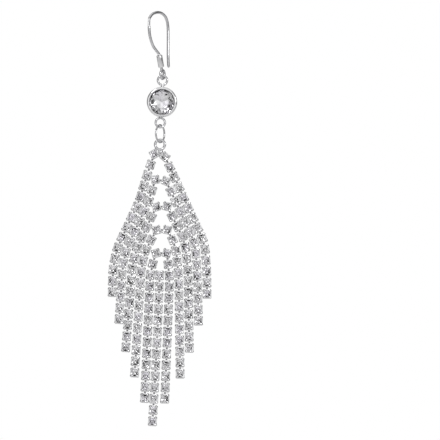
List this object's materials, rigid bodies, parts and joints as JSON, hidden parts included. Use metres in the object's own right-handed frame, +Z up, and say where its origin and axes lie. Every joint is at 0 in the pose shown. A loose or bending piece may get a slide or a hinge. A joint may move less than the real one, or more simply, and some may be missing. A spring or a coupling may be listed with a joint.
{
  "type": "chandelier earring",
  "caption": "Drop earring: an ear hook carries a round bezel-set stone, which carries a long fringe of nested cup-chain arches set with clear stones.",
  "frame": {"origin": "the middle of the inner side of the hook's crown, where it rests in the ear", "axes": "+Z up, -Y the way the stones face, +X to the right seen from the front"},
  "size_m": [0.0261, 0.0088, 0.1036],
  "materials": {
    "silver_plate": "bright silver plating",
    "clear_stone": "clear faceted glass, foiled behind",
    "cup_chain": "bright silver-plated cups with clear faceted stones"
  },
  "bodies": {
    "hook": {"ear_hook": "silver_plate", "hook_sleeve": "silver_plate"},
    "drop": {"bezel_setting": "silver_plate", "centre_stone": "clear_stone", "jump_ring": "silver_plate"},
    "fringe": {"arch_1": "cup_chain", "arch_2": "cup_chain", "arch_3": "cup_chain", "arch_4": "cup_chain", "arch_5": "cup_chain", "centre_strand": "cup_chain"}
  },
  "joints": [
    {"name": "drop_swing", "type": "hinge", "parent": "hook", "child": "drop", "pos_m": [0.00097, 0.00169, -0.01535], "axis": [1, 0, 0], "range_deg": [-60, 60]},
    {"name": "fringe_swing", "type": "hinge", "parent": "drop", "child": "fringe", "pos_m": [0.00035, 0.00169, -0.0314], "axis": [1, 0, 0], "range_deg": [-60, 60]}
  ]
}
